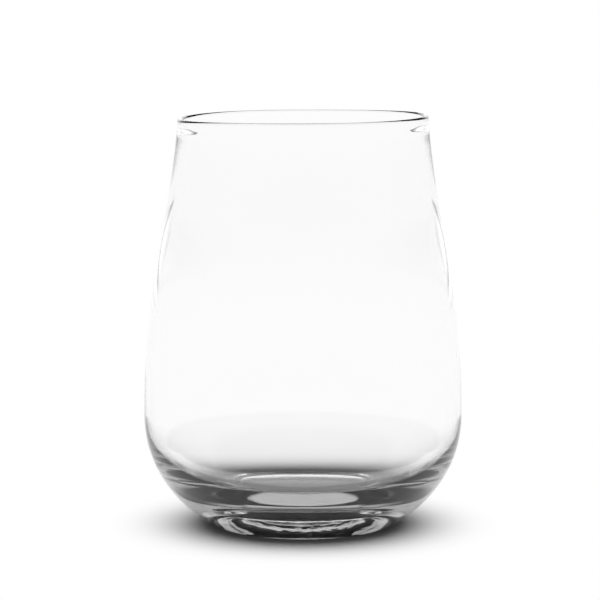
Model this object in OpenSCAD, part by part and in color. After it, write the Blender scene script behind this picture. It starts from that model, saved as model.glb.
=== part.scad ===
// Stemless wine glass of clear blown glass, standing on the table with its mouth up.
// The whole object is one wall of glass, turned about the Z axis from one outline.
// The origin is the centre of the ring on which it stands.

/* [Outside] */
// Height from the table to the top of the rim
glass_h = 120; // [110:1:130]
// Widest diameter of the bowl
belly_d = 93.2; // [86:0.2:100]
// Height of that widest place above the table
belly_h = 32.3; // [29:0.1:36]
// Outside diameter just under the rim
rim_d = 73; // [66:0.2:78]
// Diameter of the foot where the side leaves the table
foot_d = 48.4; // [47:0.2:52]

/* [Sweep of the side] */
// How far the heel stays level as it leaves the table
heel_pull = 4.2; // [3:0.1:6]
// How far the side falls upright below its widest place
belly_pull_down = 20.8; // [17:0.1:23]
// How far the side climbs upright above its widest place
belly_pull_up = 39.4; // [34:0.2:44]
// Inward lean of the side under the rim, in degrees
rim_lean = 3.4; // [2:0.1:6]
// How far below the rim the side keeps that lean
rim_pull = 27.5; // [23:0.5:32]

/* [Wall and rim] */
// Thickness of the bowl's wall
wall_t = 1.1; // [0.9:0.05:1.3]
// Diameter of the fire-polished bead along the rim
bead_d = 1.5; // [1.4:0.05:2]
// Height over which the bead thins into the wall
bead_fade = 4; // [2:0.1:6]
// How much higher the inside is widest than the outside
inner_belly_rise = 1.2; // [0:0.1:3]

/* [Inside of the heel] */
// How far the inside falls upright below its widest place
inner_pull_down = 20; // [18.5:0.1:21]
// Height of the middle of the floor, inside, above the table
floor_h = 7; // [5:0.1:9]
// How far the floor stays level out from its middle
floor_pull = 30; // [26:0.5:33]

/* [Underside] */
// Diameter of the push-up in the middle of the underside
push_d = 42; // [36:0.5:43]
// Height of that push-up
push_h = 1.6; // [0.6:0.1:2.4]
// Width of the flat ring that touches the table
ring_w = 1.2; // [0.8:0.1:1.6]

/* [Hidden] */

// Bands along each long curve, and along each short one
long_steps = 22;
short_steps = 8;
// Bands round the half circle of the bead
bead_steps = 10;

// Share of the push-up's height that is left at its edge
push_edge_share = 0.45;

belly_r = belly_d / 2;
rim_r = rim_d / 2;
foot_r = foot_d / 2;
push_r = push_d / 2;
bead_r = bead_d / 2;

// Height of the centre of the bead
bead_z = glass_h - bead_r;
// Height at which the bead has thinned into the wall
neck_z = bead_z - bead_fade;

// Point at a share t of the way along a cubic curve with end points a and d
function along(a, b, c, d, t) =
    pow(1 - t, 3) * a + 3 * pow(1 - t, 2) * t * b + 3 * (1 - t) * t * t * c + t * t * t * d;

// Points along the curve, leaving out its first, which the curve before it holds
function curve(a, b, c, d, steps) = [for (i = [1:steps]) along(a, b, c, d, i / steps)];

// Step down and inwards, at the rim's lean, from a point of the side
function below(p, drop) = p + drop * [sin(rim_lean), -cos(rim_lean)];

// Underside, from the axis out to the foot
dome_top = [0, push_h];
dome_edge = [push_r, push_h * push_edge_share];
ring_in = [foot_r - ring_w, 0];
ring_out = [foot_r, 0];
ring_gap = ring_in.x - push_r;
underside = concat(
    [dome_top],
    curve(dome_top, [push_r / 2, push_h], [push_r - ring_gap / 4, push_h], dome_edge, short_steps),
    curve(dome_edge, [push_r + ring_gap / 3, 0], [ring_in.x - ring_gap / 3, 0], ring_in, short_steps),
    [ring_out]
);

// Outside, from the foot up to the bead
belly = [belly_r, belly_h];
neck = [rim_r, bead_z];
outside = concat(
    curve(ring_out, ring_out + [heel_pull, 0], belly - [0, belly_pull_down], belly, long_steps),
    curve(belly, belly + [0, belly_pull_up], below(neck, rim_pull), neck, long_steps)
);

// Bead, over the top from the outside to the inside
bead = [for (i = [1:bead_steps])
    [rim_r - bead_r, bead_z] + bead_r * [cos(180 * i / bead_steps), sin(180 * i / bead_steps)]];

// Inside, from the bead down to the middle of the floor
bead_in = [rim_r - bead_d, bead_z];
inner_neck = [rim_r - wall_t, neck_z];
inner_belly = [belly_r - wall_t, belly_h + inner_belly_rise];
floor_mid = [0, floor_h];
inside = concat(
    curve(bead_in, bead_in - [0, bead_fade / 2], inner_neck + [0, bead_fade / 2], inner_neck, short_steps),
    curve(inner_neck, below(inner_neck, rim_pull), inner_belly + [0, belly_pull_up], inner_belly, long_steps),
    curve(inner_belly, inner_belly - [0, inner_pull_down], [floor_pull, floor_h], floor_mid, long_steps)
);

module glass() {
    color([0.9, 0.93, 0.93], 0.4)
        rotate_extrude($fn = 128)
            polygon(concat(underside, outside, bead, inside));
}

glass();
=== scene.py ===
import math

import bpy
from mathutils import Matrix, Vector, noise


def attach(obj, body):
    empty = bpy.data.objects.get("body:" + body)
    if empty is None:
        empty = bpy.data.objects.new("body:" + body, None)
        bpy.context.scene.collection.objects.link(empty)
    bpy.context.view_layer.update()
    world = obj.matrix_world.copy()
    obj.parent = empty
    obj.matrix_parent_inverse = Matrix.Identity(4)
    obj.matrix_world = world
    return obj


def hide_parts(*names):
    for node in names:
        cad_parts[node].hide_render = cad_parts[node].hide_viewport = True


# Stemless wine glass of clear blown glass on a plain white floor. Lengths are in metres.
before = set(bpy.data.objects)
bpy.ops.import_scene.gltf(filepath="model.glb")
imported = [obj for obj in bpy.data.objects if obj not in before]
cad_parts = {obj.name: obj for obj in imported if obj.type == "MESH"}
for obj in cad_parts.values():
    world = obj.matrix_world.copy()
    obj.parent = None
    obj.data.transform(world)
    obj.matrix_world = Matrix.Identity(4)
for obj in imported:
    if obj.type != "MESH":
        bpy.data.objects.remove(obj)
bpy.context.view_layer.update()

# Sizes of the glass, as in the part's source
GLASS_H = 0.120
BELLY_R = 0.0466
BELLY_H = 0.0323
RIM_R = 0.0365
FOOT_R = 0.0242
HEEL_PULL = 0.0042
BELLY_PULL_DOWN = 0.0208
BELLY_PULL_UP = 0.0394
RIM_LEAN = math.radians(3.4)
RIM_PULL = 0.0275
WALL_T = 0.0011
BEAD_R = 0.00075
INNER_BELLY_RISE = 0.0012
INNER_PULL_DOWN = 0.020
FLOOR_H = 0.007
FLOOR_PULL = 0.030
PUSH_R = 0.021
PUSH_H = 0.0016
PUSH_EDGE_SHARE = 0.45
RING_W = 0.0012

# Height over which the rim's bead thins into the wall, 2 mm more than in the part's source
BEAD_FADE = 0.006
# Unevenness of the blown wall: how far the rim's right side stands above its middle, the depth,
# number and start of the rim's waves, and how far down the wall both are felt
RIM_TILT = 0.00043
RIM_WAVE = 0.00012
RIM_WAVES = 3
RIM_WAVE_START = 1
RIM_REACH = 0.030
# Height of the crinkles on the underside, their number per metre, and the radii at which they
# start, are full, start to fade and are gone
CRINKLE_H = 0.00002
CRINKLES = 500
CRINKLE_IN = 0.007
CRINKLE_FULL = CRINKLE_IN * 1.5
CRINKLE_OUT = 0.019
CRINKLE_FADE = CRINKLE_OUT * 0.85
# Noise of the crinkles: its smoothness, how much finer each next layer is, and its layers
CRINKLE_SMOOTH = 0.7
CRINKLE_FINER = 2
CRINKLE_LAYERS = 3

# Refractive index of the glass, and the light that it takes, as a density per metre
GLASS_INDEX = 1.52
GLASS_DIMMING = 12
# Depth of the streaks in the blown surface, and their number per metre round and up the glass
STREAK_H = 0.00001
STREAKS_ROUND = 90
STREAKS_UP = 12

# Columns of faces round the glass, and bands of faces along each stretch of its outline
COLUMNS = 320
PUSH_BANDS = 60
PUSH_EDGE_BANDS = 12
SIDE_BANDS = 48
BEAD_BANDS = 14
FADE_BANDS = 8
FLOOR_BANDS = 64

# Ground on which the glass stands: half its width, and how far it lies under the glass, so that
# their faces don't meet
GROUND_HALF = 20
GROUND_DROP = 0.00005
# Radius round the glass within which the ground keeps the whole shadow, and at which none is left
SHADOW_KEPT = 0.026
SHADOW_GONE = 0.060

# White wall round the glass: how high it stands at the sides, and how far it leans, by which it is
# higher in front and lower at the back
WALL_TOP = math.radians(13)
WALL_LEAN = math.radians(9)
# Strength of the dark ceiling above the wall
CEILING_LIGHT = 0.01
# Window behind the glass: its top, half its width and its strength
WINDOW_TOP = math.radians(18)
WINDOW_HALF = math.radians(25)
WINDOW_LIGHT = 1.45
# Softness of the edges of wall and window
EDGE = math.radians(3)
# Dark sill under the window: its top, and how near to straight behind the glass it starts and is
# full, as angles towards the back
SILL_TOP = math.radians(1.2)
SILL_START = math.radians(55)
SILL_FULL = math.radians(68)
# Elevations at which the overhead lamp's glow starts and is full, and its strength
LAMP_LOW = math.radians(43)
LAMP_FULL = math.radians(47)
LAMP_LIGHT = 2

# Camera: its place, the degrees by which it looks down, its lens and sensor in millimetres, its
# shift to the side as a share of the picture's width, and how far it sees
CAMERA_PLACE = (0, -0.8, 0.1663)
CAMERA_DOWN = 7.13
CAMERA_LENS = 165.2
CAMERA_SENSOR = 36
CAMERA_SHIFT = -0.005
CAMERA_REACH = 100
# Most bounces that a ray makes in all and through glass, and off shiny surfaces
GLASS_BOUNCES = 32
SHINY_BOUNCES = 16


def along(a, b, c, d, t):
    """Point at a share t of the way along a cubic curve with end points a and d."""
    s = 1 - t
    return s**3 * a + 3 * s * s * t * b + 3 * s * t * t * c + t**3 * d


def curve(a, b, c, d, steps):
    """Points along the curve, leaving out its first, which the curve before it holds."""
    return [along(a, b, c, d, i / steps) for i in range(1, steps + 1)]


def at(radius, height):
    """Point of the outline."""
    return Vector((radius, height))


def below(point, drop):
    """Step down from a point of the side, at the lean it has under the rim."""
    return point + drop * at(math.sin(RIM_LEAN), -math.cos(RIM_LEAN))


def profile():
    """Outline of the glass, from the middle of the underside round to the middle of the floor."""
    dome_top = at(0, PUSH_H)
    dome_edge = at(PUSH_R, PUSH_H * PUSH_EDGE_SHARE)
    ring_in = at(FOOT_R - RING_W, 0)
    ring_out = at(FOOT_R, 0)
    gap = ring_in.x - PUSH_R
    points = [dome_top]
    flat = at(PUSH_R / 2, PUSH_H)
    shoulder = at(PUSH_R - gap / 4, PUSH_H)
    points += curve(dome_top, flat, shoulder, dome_edge, PUSH_BANDS)
    fall = at(PUSH_R + gap / 3, 0)
    landing = at(ring_in.x - gap / 3, 0)
    points += curve(dome_edge, fall, landing, ring_in, PUSH_EDGE_BANDS)
    points.append(ring_out)

    belly = at(BELLY_R, BELLY_H)
    neck = at(RIM_R, GLASS_H - BEAD_R)
    heel = ring_out + at(HEEL_PULL, 0)
    points += curve(ring_out, heel, belly - at(0, BELLY_PULL_DOWN), belly, SIDE_BANDS)
    points += curve(belly, belly + at(0, BELLY_PULL_UP), below(neck, RIM_PULL), neck, SIDE_BANDS)

    middle = neck - at(BEAD_R, 0)
    for i in range(1, BEAD_BANDS + 1):
        turn = math.pi * i / BEAD_BANDS
        points.append(middle + BEAD_R * at(math.cos(turn), math.sin(turn)))

    bead_in = neck - at(2 * BEAD_R, 0)
    inner_neck = neck - at(WALL_T, BEAD_FADE)
    inner_belly = at(BELLY_R - WALL_T, BELLY_H + INNER_BELLY_RISE)
    half_fade = at(0, BEAD_FADE / 2)
    points += curve(bead_in, bead_in - half_fade, inner_neck + half_fade, inner_neck, FADE_BANDS)
    rise = inner_belly + at(0, BELLY_PULL_UP)
    points += curve(inner_neck, below(inner_neck, RIM_PULL), rise, inner_belly, SIDE_BANDS)
    fall = inner_belly - at(0, INNER_PULL_DOWN)
    points += curve(inner_belly, fall, at(FLOOR_PULL, FLOOR_H), at(0, FLOOR_H), FLOOR_BANDS)
    return points


def ease(value, low, high):
    """Share, from 0 to 1, by which a value has passed smoothly from low to high."""
    t = min(max((value - low) / (high - low), 0), 1)
    return t * t * (3 - 2 * t)


def crinkle(radius, x, y):
    """Height of the crinkles at a place of the underside."""
    inner = ease(radius, CRINKLE_IN, CRINKLE_FULL)
    outer = 1 - ease(radius, CRINKLE_FADE, CRINKLE_OUT)
    place = CRINKLES * Vector((x, y, 0))
    rough = noise.fractal(place, CRINKLE_SMOOTH, CRINKLE_FINER, CRINKLE_LAYERS)
    return CRINKLE_H * inner * outer * rough


def blown(point, turn):
    """Place of an outline point at a turn round the glass, with the unevenness of blown glass."""
    x, y, z = point.x * math.cos(turn), point.x * math.sin(turn), point.y
    near_rim = ease(z, GLASS_H - RIM_REACH, GLASS_H)
    wave = RIM_WAVE * math.sin(RIM_WAVES * turn + RIM_WAVE_START)
    z += near_rim * (RIM_TILT * math.cos(turn) + wave)
    if point.y <= PUSH_H and point.x < PUSH_R:
        z += crinkle(point.x, x, y)
    return x, y, z


def turned(name, points, columns):
    """Mesh object of an outline turned about Z, whose first and last points lie on the axis."""
    rings = points[1:-1]
    verts = [(0, 0, points[0].y)]
    for point in rings:
        verts += [blown(point, 2 * math.pi * i / columns) for i in range(columns)]
    verts.append((0, 0, points[-1].y))
    last = len(verts) - 1
    top = 1 + (len(rings) - 1) * columns
    faces = []
    for i in range(columns):
        j = (i + 1) % columns
        faces.append((0, 1 + j, 1 + i))
        for k in range(len(rings) - 1):
            a, b = 1 + k * columns, 1 + (k + 1) * columns
            faces.append((a + i, a + j, b + j, b + i))
        faces.append((last, top + i, top + j))
    mesh = bpy.data.meshes.new(name)
    mesh.from_pydata(verts, [], faces)
    mesh.shade_smooth()
    obj = bpy.data.objects.new(name, mesh)
    bpy.context.scene.collection.objects.link(obj)
    return obj


def maths(tree, operation, *values):
    """Result of a maths node that is added to a node tree and fed with the values."""
    node = tree.nodes.new("ShaderNodeMath")
    node.operation = operation
    for value, socket in zip(values, node.inputs):
        tree.links.new(value, socket)
    return node.outputs["Value"]


def smooth(tree, value, low, high, before, after):
    """Number that passes smoothly from before to after while a value goes from low to high."""
    node = tree.nodes.new("ShaderNodeMapRange")
    node.interpolation_type = "SMOOTHSTEP"
    node.inputs["From Min"].default_value = low
    node.inputs["From Max"].default_value = high
    node.inputs["To Min"].default_value = before
    node.inputs["To Max"].default_value = after
    tree.links.new(value, node.inputs["Value"])
    return node.outputs["Result"]


def glass_material():
    """Clear glass that takes a little light in its thick heel, with faint streaks from blowing."""
    material = bpy.data.materials.new("clear_glass")
    material.use_nodes = True
    nodes, links = material.node_tree.nodes, material.node_tree.links
    shader = nodes["Principled BSDF"]
    shader.inputs["Base Color"].default_value = (1, 1, 1, 1)
    shader.inputs["Transmission Weight"].default_value = 1
    shader.inputs["IOR"].default_value = GLASS_INDEX
    shader.inputs["Roughness"].default_value = 0

    place = nodes.new("ShaderNodeTexCoord")
    stretch = nodes.new("ShaderNodeMapping")
    stretch.inputs["Scale"].default_value = (STREAKS_ROUND, STREAKS_ROUND, STREAKS_UP)
    links.new(place.outputs["Object"], stretch.inputs["Vector"])
    streaks = nodes.new("ShaderNodeTexNoise")
    streaks.inputs["Scale"].default_value = 1
    streaks.inputs["Detail"].default_value = 1
    links.new(stretch.outputs["Vector"], streaks.inputs["Vector"])
    bump = nodes.new("ShaderNodeBump")
    bump.inputs["Strength"].default_value = 1
    bump.inputs["Distance"].default_value = STREAK_H
    links.new(streaks.outputs[0], bump.inputs["Height"])
    links.new(bump.outputs["Normal"], shader.inputs["Normal"])

    dim = nodes.new("ShaderNodeVolumeAbsorption")
    dim.inputs["Color"].default_value = (0, 0, 0, 1)
    dim.inputs["Density"].default_value = GLASS_DIMMING
    links.new(dim.outputs["Volume"], nodes["Material Output"].inputs["Volume"])
    return material


def ground_material():
    """White that keeps the shadow near the glass, and is plain white background further off."""
    material = bpy.data.materials.new("floor")
    material.use_nodes = True
    tree = material.node_tree
    nodes, links = tree.nodes, tree.links
    nodes.clear()

    path = nodes.new("ShaderNodeLightPath")
    shiny, clear = path.outputs["Is Glossy Ray"], path.outputs["Is Transmission Ray"]
    mirrored = maths(tree, "MAXIMUM", shiny, clear)
    seen = maths(tree, "MAXIMUM", path.outputs["Is Camera Ray"], mirrored)

    place = nodes.new("ShaderNodeTexCoord")
    reach = nodes.new("ShaderNodeVectorMath")
    reach.operation = "LENGTH"
    links.new(place.outputs["Object"], reach.inputs[0])
    far = smooth(tree, reach.outputs["Value"], SHADOW_KEPT, SHADOW_GONE, 0, 1)

    paper = nodes.new("ShaderNodeBsdfDiffuse")
    paper.inputs["Color"].default_value = (1, 1, 1, 1)
    white = nodes.new("ShaderNodeEmission")
    mix = nodes.new("ShaderNodeMixShader")
    links.new(maths(tree, "MULTIPLY", far, seen), mix.inputs[0])
    links.new(paper.outputs["BSDF"], mix.inputs[1])
    links.new(white.outputs["Emission"], mix.inputs[2])
    out = nodes.new("ShaderNodeOutputMaterial")
    links.new(mix.outputs["Shader"], out.inputs["Surface"])
    return material


def studio_world():
    """Wall, window, sill and ceiling for the glass to show, and a lamp that lights the ground."""
    world = bpy.data.worlds.new("studio")
    bpy.context.scene.world = world
    world.use_nodes = True
    tree = world.node_tree
    nodes, links = tree.nodes, tree.links
    nodes.clear()
    way = nodes.new("ShaderNodeTexCoord")

    def part(x, y, z):
        """Sine of the angle at which a direction leans towards an axis."""
        node = nodes.new("ShaderNodeVectorMath")
        node.operation = "DOT_PRODUCT"
        node.inputs[1].default_value = (x, y, z)
        links.new(way.outputs["Generated"], node.inputs[0])
        return node.outputs["Value"]

    def step(value, low, high, before, after):
        """Strength that passes smoothly from one value to another between two angles."""
        return smooth(tree, value, math.sin(low), math.sin(high), before, after)

    up = part(0, 0, 1)
    back = part(0, 1, 0)
    aside = maths(tree, "ABSOLUTE", part(1, 0, 0))
    lean = part(0, math.sin(WALL_LEAN), math.cos(WALL_LEAN))
    wall = step(lean, WALL_TOP - EDGE, WALL_TOP + EDGE, 1, CEILING_LIGHT)
    low = step(up, WINDOW_TOP - EDGE, WINDOW_TOP + EDGE, 1, 0)
    narrow = step(aside, WINDOW_HALF - EDGE, WINDOW_HALF + EDGE, WINDOW_LIGHT, 0)
    behind = step(back, 0, EDGE, 0, 1)
    window = maths(tree, "MULTIPLY", maths(tree, "MULTIPLY", low, narrow), behind)
    over_sill = step(up, 0, SILL_TOP, 0, 1)
    beside_sill = step(back, SILL_START, SILL_FULL, 1, 0)
    clear_of_sill = maths(tree, "MAXIMUM", over_sill, beside_sill)
    around = maths(tree, "MULTIPLY", maths(tree, "MAXIMUM", wall, window), clear_of_sill)
    lamp = step(up, LAMP_LOW, LAMP_FULL, 0, LAMP_LIGHT)

    # The lamp alone lights the ground, the camera sees plain white, and the glass shows the rest.
    # Input 0 of a mix node chooses between its inputs 2 and 3.
    path = nodes.new("ShaderNodeLightPath")
    to_ground = nodes.new("ShaderNodeMix")
    links.new(path.outputs["Is Diffuse Ray"], to_ground.inputs[0])
    links.new(around, to_ground.inputs[2])
    links.new(lamp, to_ground.inputs[3])
    to_camera = nodes.new("ShaderNodeMix")
    links.new(path.outputs["Is Camera Ray"], to_camera.inputs[0])
    links.new(to_ground.outputs[0], to_camera.inputs[2])
    to_camera.inputs[3].default_value = 1
    sky = nodes.new("ShaderNodeBackground")
    sky.inputs["Color"].default_value = (1, 1, 1, 1)
    links.new(to_camera.outputs[0], sky.inputs["Strength"])
    out = nodes.new("ShaderNodeOutputWorld")
    links.new(sky.outputs["Background"], out.inputs["Surface"])


def lay_ground():
    """Plain floor of the scene."""
    mesh = bpy.data.meshes.new("floor")
    half = GROUND_HALF
    corners = [(-half, -half, 0), (half, -half, 0), (half, half, 0), (-half, half, 0)]
    mesh.from_pydata(corners, [], [(0, 1, 2, 3)])
    mesh.materials.append(ground_material())
    obj = bpy.data.objects.new("floor", mesh)
    obj.location.z = -GROUND_DROP
    bpy.context.scene.collection.objects.link(obj)


def place_camera():
    """Camera at the photograph's viewing angle."""
    data = bpy.data.cameras.new("camera")
    data.sensor_width = CAMERA_SENSOR
    data.lens = CAMERA_LENS
    data.shift_x = CAMERA_SHIFT
    data.clip_end = CAMERA_REACH
    obj = bpy.data.objects.new("camera", data)
    obj.location = CAMERA_PLACE
    obj.rotation_euler = (math.radians(90 - CAMERA_DOWN), 0, 0)
    bpy.context.scene.collection.objects.link(obj)
    bpy.context.scene.camera = obj


glass = turned("glass_body", profile(), COLUMNS)
glass.data.materials.append(glass_material())
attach(glass, "root")
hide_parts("glass")

lay_ground()
studio_world()
place_camera()

scene = bpy.context.scene
scene.view_settings.view_transform = "Standard"
scene.cycles.caustics_reflective = False
scene.cycles.caustics_refractive = False
scene.cycles.max_bounces = GLASS_BOUNCES
scene.cycles.transmission_bounces = GLASS_BOUNCES
scene.cycles.glossy_bounces = SHINY_BOUNCES
